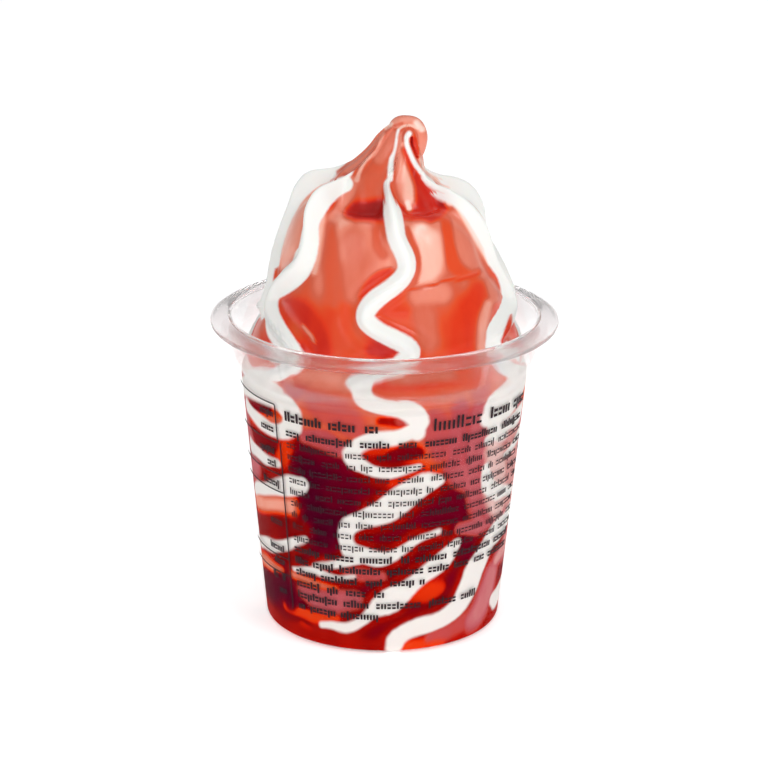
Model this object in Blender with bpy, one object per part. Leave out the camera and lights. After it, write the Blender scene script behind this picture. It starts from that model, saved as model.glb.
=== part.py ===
"""A soft serve ice cream in its clear cup. Metres, +Z up, origin at the centre of the cup's foot."""

import math

import bmesh
import bpy

MM = 0.001

# Cup, in millimetres
WALL = 0.5
FOOT_RADIUS = 23.3
FOOT_FILLET = 2.0
PANEL_RADIUS = 17.0
PANEL_RISE = 0.9
NECK_RADIUS = 28.2
NECK_HEIGHT = 50.8
COLLAR_RADIUS = 29.9
COLLAR_HEIGHT = 54.9
RIM_RADIUS = 33.8
RIM_HEIGHT = 62.6
RIM_DROP = 1.0
RIM_BEAD = 0.55
CUP_SEGMENTS = 64

# Soft serve, in millimetres
CLEARANCE = 0.3
RIB_HALF_WIDTH = 1.5
RIB_SPREAD = 0.12
RIB_PLAIN_RISE = 1.5
PATH_STEPS = 6
SHOULDER_PLACE = 11.0
SHOULDER_SPAN = 2.6
GROOVE_DEPTH = 0.4
GROOVE_PLACE = 2.1
TIP_NARROWING = 15.0
RING_STEP = 1.25
SWING_START = 51.0
SWING_FULL = 54.0

# Radius and height along the crest of a rib, from where the swirl leaves the wall up to the tip
CREST_PROFILE = [
    (27.3, 51.0),
    (27.2, 55.0),
    (26.0, 61.5),
    (24.8, 65.7),
    (24.0, 68.2),
    (23.0, 71.5),
    (21.8, 76.2),
    (20.9, 79.5),
    (19.7, 83.0),
    (18.5, 86.0),
    (16.6, 88.3),
    (14.2, 89.7),
    (11.4, 90.3),
    (9.1, 90.9),
    (7.2, 92.2),
    (6.1, 93.8),
    (5.2, 95.6),
    (4.4, 97.9),
    (2.9, 99.9),
    (0.7, 101.0),
]
# The same stations half way between two ribs: a rounded lobe, the crease above it, and the tip's cone
LOBE_PROFILE = [
    (27.3, 51.0),
    (26.6, 55.2),
    (24.6, 61.5),
    (23.4, 65.7),
    (22.6, 68.2),
    (21.6, 71.4),
    (20.3, 75.8),
    (19.4, 78.7),
    (18.3, 81.4),
    (17.0, 83.4),
    (15.5, 84.7),
    (14.0, 85.2),
    (12.7, 85.1),
    (11.7, 85.8),
    (10.6, 87.6),
    (8.1, 90.8),
    (5.5, 94.2),
    (4.0, 97.4),
    (2.6, 99.6),
    (0.7, 101.0),
]
# Height and sideways lean of the swirl's centre
LEAN = [
    (51.0, 0.0),
    (60.0, 0.3),
    (67.0, 0.9),
    (74.0, 0.3),
    (82.0, 0.5),
    (87.0, 0.0),
    (90.3, -0.6),
    (92.5, 0.6),
    (94.5, 1.5),
    (97.0, 2.5),
    (101.0, 4.2),
]
# Heights at which a rib turns back, and how far round it has swung there, in radians
FRONT_TURNS = [(96.0, 0.03), (85.0, 0.02), (77.9, 0.12), (68.3, -0.27), (61.8, 0.12), (55.4, -0.30), (48.5, 0.22)]
RIGHT_TURNS = [(96.0, 0.0), (90.0, -0.05), (79.0, 0.1), (66.0, 0.33), (60.6, -0.14), (55.8, 0.12), (49.0, -0.2)]
LEFT_TURNS = [(96.0, 0.0), (87.0, -0.03), (78.5, 0.05), (66.5, -0.38), (58.2, 0.24), (53.4, 0.0), (48.0, 0.15)]
# Each rib's place in degrees anticlockwise from the front, its turns, how much lower they come,
# and the share of its height that it keeps round the shoulder
RIBS = [
    (4.0, FRONT_TURNS, 0.0, 1.0),
    (66.0, RIGHT_TURNS, 0.0, 0.8),
    (109.0, FRONT_TURNS, 0.8, 0.7),
    (160.0, LEFT_TURNS, -0.6, 0.6),
    (207.0, FRONT_TURNS, -0.9, 0.75),
    (256.0, RIGHT_TURNS, 0.7, 0.97),
    (306.0, LEFT_TURNS, 0.0, 1.0),
]

# The pulled-off tail that curls over beside the tip: sideways, forward, height and radius
TAIL = [
    (2.6, 0.2, 97.1, 2.3),
    (3.0, 0.2, 98.95, 2.5),
    (4.4, 0.0, 99.6, 2.0),
    (5.5, -0.2, 99.2, 1.9),
    (6.2, -0.5, 97.7, 1.8),
    (6.3, -0.8, 96.0, 1.5),
    (6.1, -1.0, 94.4, 1.1),
    (5.8, -1.1, 93.3, 0.6),
]


def blend(points, at):
    """Smooth value between (place, value) points, in either order of place."""
    ordered = sorted(points)
    if at <= ordered[0][0]:
        return ordered[0][1]
    if at >= ordered[-1][0]:
        return ordered[-1][1]
    for (low, a), (high, b) in zip(ordered, ordered[1:]):
        if at <= high:
            share = (at - low) / (high - low)
            return a + (b - a) * (1 - math.cos(math.pi * share)) / 2


def curve_through(points, at):
    """Value on a Catmull-Rom curve through (place, value) points in rising order."""
    last = len(points) - 1
    index = 0
    while index < last - 1 and at > points[index + 1][0]:
        index += 1
    (x0, y0), (x1, y1) = points[index], points[index + 1]
    before = points[max(index - 1, 0)]
    after = points[min(index + 2, last)]
    slope0 = (y1 - before[1]) / (x1 - before[0])
    slope1 = (after[1] - y0) / (after[0] - x0)
    span = x1 - x0
    s = min(max((at - x0) / span, 0.0), 1.0)
    return (
        y0 * (1 + 2 * s) * (1 - s) ** 2
        + slope0 * span * s * (1 - s) ** 2
        + y1 * s * s * (3 - 2 * s)
        + slope1 * span * s * s * (s - 1)
    )


def ease(value):
    value = min(max(value, 0.0), 1.0)
    return value * value * (3 - 2 * value)


def arc(centre_r, centre_z, radius, start, end, steps):
    """Points (radius, height) on an arc, angles in degrees from the outward direction."""
    points = []
    for step in range(steps + 1):
        angle = math.radians(start + (end - start) * step / steps)
        points.append((centre_r + radius * math.cos(angle), centre_z + radius * math.sin(angle)))
    return points


def material(name, colour, roughness, alpha=1.0, transmission=0.0):
    made = bpy.data.materials.new(name)
    made.use_nodes = True
    shader = made.node_tree.nodes["Principled BSDF"]
    shader.inputs["Base Color"].default_value = (*colour, 1.0)
    shader.inputs["Roughness"].default_value = roughness
    shader.inputs["Metallic"].default_value = 0.0
    shader.inputs["Alpha"].default_value = alpha
    shader.inputs["Transmission Weight"].default_value = transmission
    return made


def add_object(name, mesh_builder, finish, sharp_degrees=40):
    """Turns a filled bmesh into a named object, shaded smooth."""
    mesh = bpy.data.meshes.new(name)
    bmesh.ops.recalc_face_normals(mesh_builder, faces=mesh_builder.faces[:])
    mesh_builder.to_mesh(mesh)
    mesh_builder.free()
    mesh.materials.append(finish)
    mesh.shade_smooth()
    mesh.set_sharp_from_angle(angle=math.radians(sharp_degrees))
    made = bpy.data.objects.new(name, mesh)
    bpy.context.scene.collection.objects.link(made)
    return made


def outer_wall():
    """The cup's outer side as (radius, height), from the fillet at the foot to under the rim."""
    fillet = arc(FOOT_RADIUS - FOOT_FILLET, FOOT_FILLET, FOOT_FILLET, -90, -6, 5)
    shoulder = [
        (NECK_RADIUS, NECK_HEIGHT),
        (NECK_RADIUS + 0.35, NECK_HEIGHT + 1.4),
        (COLLAR_RADIUS - 0.45, COLLAR_HEIGHT - 0.9),
        (COLLAR_RADIUS, COLLAR_HEIGHT),
    ]
    collar_top = (COLLAR_RADIUS + 0.15, RIM_HEIGHT - 2 * WALL - 0.4)
    return fillet + shoulder + [collar_top]


def inner_radius(height):
    """Radius of the cup's inner wall at a height."""
    wall = outer_wall()
    inner = [(z, r - WALL) for r, z in wall]
    for (z0, r0), (z1, r1) in zip(inner, inner[1:]):
        if z0 <= height <= z1:
            return r0 + (r1 - r0) * (height - z0) / (z1 - z0)
    return inner[-1][1]


def rim_section():
    """The flared rim with its rounded edge, from its underside out and back in over the top."""
    edge_height = RIM_HEIGHT - RIM_DROP - RIM_BEAD
    edge_radius = RIM_RADIUS - RIM_BEAD
    underside = [
        (COLLAR_RADIUS + 0.5, RIM_HEIGHT - 2 * WALL),
        (COLLAR_RADIUS + 1.6, RIM_HEIGHT - 2 * WALL - 0.15),
    ]
    bead = arc(edge_radius, edge_height, RIM_BEAD, -130, 75, 6)
    top = [
        (COLLAR_RADIUS + 2.0, RIM_HEIGHT - 0.28),
        (COLLAR_RADIUS + 0.6, RIM_HEIGHT),
        (COLLAR_RADIUS - 0.05, RIM_HEIGHT - 0.15),
        (COLLAR_RADIUS - WALL + 0.2, RIM_HEIGHT - 0.7),
    ]
    return underside + bead + top


def cup_section():
    """The whole closed section of the cup, from the axis underneath to the axis inside."""
    floor_top = PANEL_RISE + WALL
    foot = [(0.0, PANEL_RISE), (PANEL_RADIUS, PANEL_RISE), (PANEL_RADIUS + 0.6, 0.0)]
    inner = [(r - WALL, z) for r, z in reversed(outer_wall()) if z > FOOT_FILLET]
    inner_fillet = arc(FOOT_RADIUS - WALL - 1.6, floor_top + 1.6, 1.6, -10, -90, 4)
    return foot + outer_wall() + rim_section() + inner + inner_fillet + [(0.0, floor_top)]


def make_cup():
    """The thin clear cup, turned about its axis."""
    builder = bmesh.new()
    points = [builder.verts.new((r * MM, 0.0, z * MM)) for r, z in cup_section()]
    edges = [builder.edges.new(pair) for pair in zip(points, points[1:])]
    bmesh.ops.spin(
        builder,
        geom=points + edges,
        cent=(0, 0, 0),
        axis=(0, 0, 1),
        angle=math.tau,
        steps=CUP_SEGMENTS,
        use_merge=True,
    )
    bmesh.ops.remove_doubles(builder, verts=builder.verts[:], dist=1e-6)
    clear = material("clear_plastic", (0.93, 0.93, 0.93), 0.08, alpha=0.35, transmission=1.0)
    return add_object("cup", builder, clear)


def rib_swing(rib, height):
    """How far a rib's crest has swung round from its own place, in radians."""
    turns, lower = RIBS[rib % len(RIBS)][1:3]
    free = ease((height - SWING_START) / (SWING_FULL - SWING_START))
    return free * blend([(z - lower, swing) for z, swing in turns], height)


def rib_angle(rib):
    """A rib's place in radians; ribs past the last one carry on round."""
    turn, index = divmod(rib, len(RIBS))
    return math.radians(RIBS[index][0] + 360.0 * turn)


def station(profile, place):
    """Radius and height of a profile at a place counted along its points."""
    return [curve_through([(i, point[axis]) for i, point in enumerate(profile)], place) for axis in range(2)]


def lobe_lengths():
    """Length along the lobe profile from its start to each of its points."""
    lengths = [0.0]
    for low, high in zip(LOBE_PROFILE, LOBE_PROFILE[1:]):
        lengths.append(lengths[-1] + math.dist(low, high))
    return list(enumerate(lengths))


def crest_path(rib):
    """A rib's crest as (swing in radians, length along the lobe profile)."""
    lengths = lobe_lengths()
    count = (len(CREST_PROFILE) - 1) * PATH_STEPS
    places = [step / PATH_STEPS for step in range(count + 1)]
    return [(rib_swing(rib, station(CREST_PROFILE, place)[1]), curve_through(lengths, place)) for place in places]


def shoulder_keep(rib, place):
    """The share of a rib's height that is left at a station."""
    share = RIBS[rib % len(RIBS)][3]
    return 1.0 - (1.0 - share) * math.exp(-(((place - SHOULDER_PLACE) / SHOULDER_SPAN) ** 2))


def surface_point(rib, share, place, paths, lengths):
    """A point at a share of the way from one rib to the next, as (x, y, z) in millimetres."""
    lobe_radius, lobe_height = station(LOBE_PROFILE, place)
    crest_radius, crest_height = station(CREST_PROFILE, place)
    swing = [rib_swing(rib, crest_height), rib_swing(rib + 1, crest_height)]
    angle = rib_angle(rib) + share * (rib_angle(rib + 1) - rib_angle(rib))
    turned = angle + swing[0] + (swing[1] - swing[0]) * ease(share)
    near = rib if share < 0.5 else rib + 1
    length = curve_through(lengths, place)
    aside = turned - rib_angle(near)
    path = paths[near % len(RIBS)]
    off = min(math.hypot((aside - turn) * lobe_radius, length - along) for turn, along in path)
    rise = math.hypot(crest_radius - lobe_radius, crest_height - lobe_height)
    narrow = min(1.0, lobe_radius / TIP_NARROWING)
    half = narrow * (RIB_HALF_WIDTH + RIB_SPREAD * max(rise - RIB_PLAIN_RISE, 0.0))
    crest = shoulder_keep(near, place) * math.exp(-((off / half) ** 2))
    groove = GROOVE_DEPTH * narrow * min(1.0, rise) * math.exp(-((off / half - GROOVE_PLACE) ** 2))
    radius = lobe_radius + (crest_radius - lobe_radius) * crest - groove
    height = lobe_height + (crest_height - lobe_height) * crest
    centre = curve_through(LEAN, height)
    return (centre + radius * math.sin(turned), -radius * math.cos(turned), height)


def swirl_places():
    """Stations of the rings, about one ring step apart along the lobes."""
    places = []
    for index, (low, high) in enumerate(zip(LOBE_PROFILE, LOBE_PROFILE[1:])):
        steps = max(1, round(math.dist(low, high) / RING_STEP))
        places += [index + step / steps for step in range(steps)]
    return places + [len(LOBE_PROFILE) - 1]


def packed_rings():
    """Rings of the part that fills the cup, as (radius, height), clear of its wall."""
    floor = PANEL_RISE + WALL + CLEARANCE
    fillet = 1.8
    bottom_radius = inner_radius(floor + fillet) - CLEARANCE
    rings = arc(bottom_radius - fillet, floor + fillet, fillet, -90, 0, 3)
    middle = 0.5 * (floor + fillet + NECK_HEIGHT)
    return rings + [(inner_radius(middle) - CLEARANCE, middle)]


def ring_stops():
    """Rib and share of the way to the next rib, closer together on the ribs than between them."""
    shares = (0.0, 0.05, 0.11, 0.2, 0.34, 0.5, 0.66, 0.8, 0.89, 0.95)
    return [(rib, share) for rib in range(len(RIBS)) for share in shares]


def make_ring(builder, points):
    return [builder.verts.new([value * MM for value in point]) for point in points]


def bridge(builder, lower, upper):
    count = len(lower)
    for i in range(count):
        j = (i + 1) % count
        builder.faces.new((lower[i], lower[j], upper[j], upper[i]))


def make_tail(finish):
    """The curled tail, a tapering tube along a bent line."""
    builder = bmesh.new()
    sides = 14
    steps = 22
    span = len(TAIL) - 1
    columns = [[(place, point[axis]) for place, point in enumerate(TAIL)] for axis in range(4)]

    def at(place):
        return [curve_through(column, place) for column in columns]

    rings = []
    for step in range(steps + 1):
        place = span * step / steps
        x, y, z, radius = at(place)
        ahead = at(min(place + 0.05, span))
        behind = at(max(place - 0.05, 0.0))
        dx, dz = ahead[0] - behind[0], ahead[2] - behind[2]
        length = math.hypot(dx, dz)
        across = (dz / length, -dx / length)
        ring = []
        for side in range(sides):
            turn = math.tau * side / sides
            out, deep = radius * math.cos(turn), radius * math.sin(turn)
            point = (x + out * across[0], y + deep, z + out * across[1])
            ring.append(builder.verts.new([value * MM for value in point]))
        rings.append(ring)
    for lower, upper in zip(rings, rings[1:]):
        bridge(builder, lower, upper)
    builder.faces.new(rings[0])
    builder.faces.new(rings[-1])
    return add_object("tail_joined", builder, finish)


def make_soft_serve():
    """The ice cream: packed against the wall below, a ribbed swirl with a curled tip above."""
    builder = bmesh.new()
    stops = ring_stops()
    angles = [rib_angle(rib) + share * (rib_angle(rib + 1) - rib_angle(rib)) for rib, share in stops]
    rings = []
    for radius, height in packed_rings():
        points = [(radius * math.sin(angle), -radius * math.cos(angle), height) for angle in angles]
        rings.append(make_ring(builder, points))
    paths = [crest_path(rib) for rib in range(len(RIBS))]
    lengths = lobe_lengths()
    for place in swirl_places():
        points = [surface_point(rib, share, place, paths, lengths) for rib, share in stops]
        rings.append(make_ring(builder, points))
    for lower, upper in zip(rings, rings[1:]):
        bridge(builder, lower, upper)
    builder.faces.new(reversed(rings[0]))
    builder.faces.new(rings[-1])
    cream = material("ice_cream_and_sauce", (0.80, 0.16, 0.08), 0.35)
    swirl = add_object("soft_serve", builder, cream)

    tail = make_tail(cream)
    joined = bpy.data.collections.new("joined")
    bpy.context.scene.collection.children.link(joined)
    bpy.context.scene.collection.objects.unlink(tail)
    joined.objects.link(tail)
    union = swirl.modifiers.new("join_tail", "BOOLEAN")
    union.operation = "UNION"
    union.operand_type = "COLLECTION"
    union.collection = joined
    union.solver = "EXACT"
    bpy.context.view_layer.objects.active = swirl
    bpy.ops.object.modifier_apply(modifier=union.name)
    bpy.data.objects.remove(tail)
    bpy.data.collections.remove(joined)
    return swirl


def main():
    for old in list(bpy.data.objects):
        bpy.data.objects.remove(old)
    make_cup()
    make_soft_serve()


main()
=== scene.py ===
import math

import bmesh
import bpy
import numpy as np
from mathutils import Matrix, Vector


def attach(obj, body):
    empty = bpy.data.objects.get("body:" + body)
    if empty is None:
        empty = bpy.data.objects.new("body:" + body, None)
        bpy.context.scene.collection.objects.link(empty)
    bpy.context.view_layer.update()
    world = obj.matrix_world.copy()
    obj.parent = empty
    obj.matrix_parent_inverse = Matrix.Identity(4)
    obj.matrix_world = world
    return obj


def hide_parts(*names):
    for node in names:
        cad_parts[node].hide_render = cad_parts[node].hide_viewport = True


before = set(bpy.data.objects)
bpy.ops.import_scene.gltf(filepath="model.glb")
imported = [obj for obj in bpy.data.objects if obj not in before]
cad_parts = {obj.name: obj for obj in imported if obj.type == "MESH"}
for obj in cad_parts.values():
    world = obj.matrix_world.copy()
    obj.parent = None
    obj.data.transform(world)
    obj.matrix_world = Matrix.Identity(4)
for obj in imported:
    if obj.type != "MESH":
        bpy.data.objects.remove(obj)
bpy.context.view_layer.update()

mm = 0.001
print("frame loaded:", sorted(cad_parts))


# Small helpers for numbers

def fade(low, high, value):
    share = np.clip((value - low) / (high - low), 0.0, 1.0)
    return share * share * (3 - 2 * share)


def turning(points, at):
    # smooth value between (place, value) points, flat at each of them
    ordered = sorted(points)
    places = [p for p, _ in ordered]
    at = np.clip(np.asarray(at, dtype=float), places[0], places[-1])
    index = np.clip(np.searchsorted(places, at, side="right") - 1, 0, len(places) - 2)
    low, high = np.take(places, index), np.take(places, index + 1)
    values = [v for _, v in ordered]
    a, b = np.take(values, index), np.take(values, index + 1)
    return a + (b - a) * (1 - np.cos(np.pi * (at - low) / (high - low))) / 2


def curveThrough(points, at):
    # value on a Catmull-Rom curve through (place, value) points in rising order
    last = len(points) - 1
    index = 0
    while index < last - 1 and at > points[index + 1][0]:
        index += 1
    (x0, y0), (x1, y1) = points[index], points[index + 1]
    before, after = points[max(index - 1, 0)], points[min(index + 2, last)]
    slope0 = (y1 - before[1]) / (x1 - before[0])
    slope1 = (after[1] - y0) / (after[0] - x0)
    span = x1 - x0
    s = min(max((at - x0) / span, 0.0), 1.0)
    start = y0 * (1 + 2 * s) * (1 - s) ** 2 + slope0 * span * s * (1 - s) ** 2
    return start + y1 * s * s * (3 - 2 * s) + slope1 * span * s * s * (s - 1)


def arc(centreR, centreZ, radius, start, end, steps):
    turns = [math.radians(start + (end - start) * step / steps) for step in range(steps + 1)]
    return [(centreR + radius * math.cos(t), centreZ + radius * math.sin(t)) for t in turns]


def ripple(a, b, seed, waves=6):
    # gentle unevenness between -1 and 1 over two coordinates in mm
    draw = np.random.default_rng(seed)
    total = 0.0
    for _ in range(waves):
        turn, length, phase = draw.uniform(0, math.tau), draw.uniform(4, 11), draw.uniform(0, math.tau)
        total = total + np.sin((a * math.cos(turn) + b * math.sin(turn)) * math.tau / length + phase)
    return total / waves * 1.6


# Materials: an expression on wires adds the nodes that work it out

class Wire:
    def __init__(self, tree, socket=None):
        self.tree = tree
        self.socket = socket

    def make(self, kind, settings=None, sockets=None, output=0):
        node = self.tree.nodes.new(kind)
        for name, value in (settings or {}).items():
            if name != "stops":
                setattr(node, name, value)
                continue
            ramp = node.color_ramp
            ramp.elements[0].position = value[0][0]
            ramp.elements[1].position = value[-1][0]
            for place, _ in value[1:-1]:
                ramp.elements.new(place)
            for element, (_, colour) in zip(ramp.elements, value):
                element.color = (*colour, 1.0)
        for name, value in (sockets or {}).items():
            if isinstance(value, Wire):
                self.tree.links.new(value.socket, node.inputs[name])
            else:
                node.inputs[name].default_value = value
        return Wire(self.tree, node.outputs[output])

    def work(self, operation, first, second):
        return self.make("ShaderNodeMath", {"operation": operation}, {0: first, 1: second})

    def __add__(self, other):
        return self.work("ADD", self, other)

    def __radd__(self, other):
        return self.work("ADD", other, self)

    def __sub__(self, other):
        return self.work("SUBTRACT", self, other)

    def __rsub__(self, other):
        return self.work("SUBTRACT", other, self)

    def __mul__(self, other):
        return self.work("MULTIPLY", self, other)

    def __rmul__(self, other):
        return self.work("MULTIPLY", other, self)

    def step(self, low, high):
        sockets = {"Value": self, "From Min": low, "From Max": high}
        return self.make("ShaderNodeMapRange", {"interpolation_type": "SMOOTHSTEP"}, sockets)

    def tint(self, stops):
        return self.make("ShaderNodeValToRGB", {"stops": stops}, {"Fac": self})

    def mix(self, first, second):
        # first where this wire is 0 and second where it is 1, for colours
        sockets = {0: self, 6: first, 7: second}
        return self.make("ShaderNodeMix", {"data_type": "RGBA"}, sockets, output=2)

    def painted(self, name):
        return self.make("ShaderNodeAttribute", {"attribute_name": name}, output=2)


def linear(red, green, blue):
    # 8-bit screen colour to the linear one that a shader takes
    shares = [level / 255 for level in (red, green, blue)]
    return tuple(((s + 0.055) / 1.055) ** 2.4 if s > 0.04 else s / 12.92 for s in shares)


def newMaterial(name, constants):
    made = bpy.data.materials.new(name)
    made.use_nodes = True
    shader = made.node_tree.nodes["Principled BSDF"]
    for socket, value in constants.items():
        shader.inputs[socket].default_value = value
    return made, shader, Wire(made.node_tree)


def plug(shader, **wires):
    for name, wire in wires.items():
        shader.id_data.links.new(wire.socket, shader.inputs[name.replace("_", " ")])


def addPiece(name, points, faces, finish, fields=None):
    mesh = bpy.data.meshes.new(name)
    mesh.from_pydata(points, [], faces)
    for field, values in (fields or {}).items():
        layer = mesh.attributes.new(field, "FLOAT", "POINT")
        layer.data.foreach_set("value", np.asarray(values, dtype=np.float32))
    mesh.materials.append(finish)
    mesh.validate()
    mesh.shade_smooth()
    piece = bpy.data.objects.new(name, mesh)
    bpy.context.scene.collection.objects.link(piece)
    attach(piece, "root")
    return piece


def gridFaces(rings, columns):
    # faces between closed rings of points, the first ring lowest
    faces = []
    for ring in range(rings - 1):
        low, high = ring * columns, (ring + 1) * columns
        for i in range(columns):
            after = (i + 1) % columns
            faces.append((low + i, low + after, high + after, high + i))
    return faces


def closedFaces(rings, columns):
    # the same with a face across each end
    ends = [tuple(range(columns - 1, -1, -1)), tuple(range((rings - 1) * columns, rings * columns))]
    return gridFaces(rings, columns) + ends


# Studio

studio = {
    "elevation": 18.44,
    "distance": 773.4,
    "lens": 185.9,
    "aimHeight": 47.6,
    "roll": 0.416,
    "paper": (0.93, 0.93, 0.93),
    "paperGlow": 0.56,
    "worldStrength": 0.31,
    "floorHalf": 3.0,
    "lampAim": Vector((0.0, 0.0, 0.05)),
    # place in metres, size and power of each soft lamp
    "lamps": {
        "keyLamp": ((0.42, -0.5, 0.6), 0.4, 2.1),
        "fillLamp": ((-0.45, -0.5, 0.5), 0.45, 1.0),
        "frontLamp": ((0.0, -0.95, 0.3), 0.6, 1.1),
        "topLamp": ((0.05, 0.1, 0.8), 0.6, 1.2),
    },
}
lift = math.radians(studio["elevation"])
cameraBack = Vector((0.0, -math.cos(lift), math.sin(lift)))
cameraTurn = (-cameraBack).to_track_quat("-Z", "Y").to_matrix()
cameraTurn = cameraTurn @ Matrix.Rotation(math.radians(studio["roll"]), 3, "Z")
aim = Vector((0.0, 0.0, studio["aimHeight"]))


def pictureSpot(x, y, z):
    # where the camera sees points, in mm right of the aim point and above it
    spot = np.stack([x - aim.x, y - aim.y, z - aim.z])
    right, above, back = (np.tensordot(np.array(cameraTurn.col[axis]), spot, axes=1) for axis in range(3))
    scale = studio["distance"] / (studio["distance"] - back)
    return right * scale, above * scale


def placeCamera():
    camera = bpy.data.objects.new("camera", bpy.data.cameras.new("camera"))
    bpy.context.scene.collection.objects.link(camera)
    place = (aim + cameraBack * studio["distance"]) * mm
    camera.matrix_world = Matrix.Translation(place) @ cameraTurn.to_4x4()
    camera.data.lens = studio["lens"]
    camera.data.sensor_width = 36.0
    camera.data.clip_start = 0.01
    bpy.context.scene.camera = camera


def addLamp(name, place, size, power):
    lamp = bpy.data.lights.new(name, "AREA")
    lamp.shape = "DISK"
    lamp.size = size
    lamp.energy = power
    holder = bpy.data.objects.new(name, lamp)
    bpy.context.scene.collection.objects.link(holder)
    turn = (studio["lampAim"] - Vector(place)).to_track_quat("-Z", "Y")
    holder.matrix_world = Matrix.Translation(Vector(place)) @ turn.to_matrix().to_4x4()


def setStudio():
    scene = bpy.context.scene
    scene.view_settings.view_transform = "Standard"
    world = bpy.data.worlds.new("studio")
    world.use_nodes = True
    background = world.node_tree.nodes["Background"]
    background.inputs["Color"].default_value = (1.0, 1.0, 1.0, 1.0)
    background.inputs["Strength"].default_value = studio["worldStrength"]
    scene.world = world
    paper = newMaterial("floorPaper", {
        "Base Color": (*studio["paper"], 1.0),
        "Roughness": 0.9,
        "Emission Color": (1.0, 1.0, 1.0, 1.0),
        "Emission Strength": studio["paperGlow"],
    })[0]
    mesh = bpy.data.meshes.new("floor")
    half = studio["floorHalf"]
    corners = [(-half, -half, 0), (half, -half, 0), (half, half, 0), (-half, half, 0)]
    mesh.from_pydata(corners, [], [(0, 1, 2, 3)])
    mesh.materials.append(paper)
    floor = bpy.data.objects.new("floor", mesh)
    scene.collection.objects.link(floor)
    for name, (place, size, power) in studio["lamps"].items():
        addLamp(name, place, size, power)


# The cup, in millimetres

cup = {
    "wall": 0.5,
    "footRadius": 23.3,
    "footFillet": 2.0,
    "panelRadius": 17.0,
    "panelRise": 0.9,
    "neckRadius": 28.2,
    "neckHeight": 50.8,
    "collarRadius": 29.9,
    "collarHeight": 54.9,
    "rimRadius": 33.8,
    "rimHeight": 62.6,
    "rimDrop": 1.0,
    "rimBead": 0.55,
    "steps": 160,
    "tint": linear(240, 233, 233),
    "roughness": 0.08,
    # height and how milky the plastic looks there
    "milk": [(0.0, 0.08), (46.0, 0.05), (51.5, 0.07), (55.0, 0.13), (61.0, 0.4), (61.6, 0.75), (62.6, 0.75)],
}


def cupOutside():
    neck, neckHeight = cup["neckRadius"], cup["neckHeight"]
    collar, collarHeight = cup["collarRadius"], cup["collarHeight"]
    fillet = arc(cup["footRadius"] - cup["footFillet"], cup["footFillet"], cup["footFillet"], -90, -6, 10)
    shoulder = [
        (neck, neckHeight),
        (neck + 0.15, neckHeight + 0.9),
        (neck + 0.5, neckHeight + 1.8),
        (collar - 0.45, collarHeight - 0.9),
        (collar - 0.1, collarHeight - 0.35),
        (collar, collarHeight),
    ]
    return fillet + shoulder + [(collar + 0.15, cup["rimHeight"] - 2 * cup["wall"] - 0.4)]


def outerRadius(height):
    wall = cupOutside()
    return np.interp(height, [z for _, z in wall], [r for r, _ in wall])


def rimOutline():
    collar, top, bead = cup["collarRadius"], cup["rimHeight"], cup["rimBead"]
    edgeHeight = top - cup["rimDrop"] - bead
    under = [
        (collar + 0.5, top - 2 * cup["wall"]),
        (collar + 1.6, top - 2 * cup["wall"] - 0.15),
    ]
    edge = arc(cup["rimRadius"] - bead, edgeHeight, bead, -130, 75, 12)
    lip = [
        (collar + 2.0, top - 0.28),
        (collar + 1.2, top - 0.08),
        (collar + 0.6, top),
        (collar - 0.05, top - 0.15),
        (collar - cup["wall"] + 0.2, top - 0.7),
    ]
    return under + edge + lip


def cupOutline():
    floorTop = cup["panelRise"] + cup["wall"]
    foot = [(0.0, cup["panelRise"]), (cup["panelRadius"], cup["panelRise"]), (cup["panelRadius"] + 0.6, 0.0)]
    inside = [(r - cup["wall"], z) for r, z in reversed(cupOutside()) if z > cup["footFillet"]]
    fillet = arc(cup["footRadius"] - cup["wall"] - 1.6, floorTop + 1.6, 1.6, -10, -90, 8)
    return foot + cupOutside() + rimOutline() + inside + fillet + [(0.0, floorTop)]


def clearPlastic():
    made, shader, wire = newMaterial("clearPlastic", {
        "Base Color": (*cup["tint"], 1.0),
        "Roughness": cup["roughness"],
        "IOR": 1.32,
        "Transmission Weight": 1.0,
    })
    edge = wire.make("ShaderNodeLayerWeight", sockets={"Blend": 0.3}, output=1)
    plug(shader, Alpha=wire.painted("milk") * (1 + 0.7 * edge))
    return made


def makeCup():
    outline = cupOutline()
    steps = cup["steps"]
    points, faces = [(0.0, 0.0, outline[0][1] * mm)], []
    rings = outline[1:-1]
    for radius, height in rings:
        for step in range(steps):
            turn = math.tau * step / steps
            points.append((radius * mm * math.cos(turn), radius * mm * math.sin(turn), height * mm))
    points.append((0.0, 0.0, outline[-1][1] * mm))
    top = len(points) - 1
    lastRing = 1 + (len(rings) - 1) * steps
    for step in range(steps):
        after = (step + 1) % steps
        faces.append((0, 1 + after, 1 + step))
        faces.append((top, lastRing + step, lastRing + after))
    faces += [tuple(1 + i for i in face) for face in gridFaces(len(rings), steps)]
    heights = [p[2] / mm for p in points]
    milk = np.interp(heights, [z for z, _ in cup["milk"]], [share for _, share in cup["milk"]])
    piece = addPiece("clearCup", points, faces, clearPlastic(), {"milk": milk})
    piece.data.set_sharp_from_angle(angle=math.radians(50))
    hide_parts("cup")
    print("cup turned:", len(points), "points")


# The ice cream, in millimetres and degrees

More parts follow.
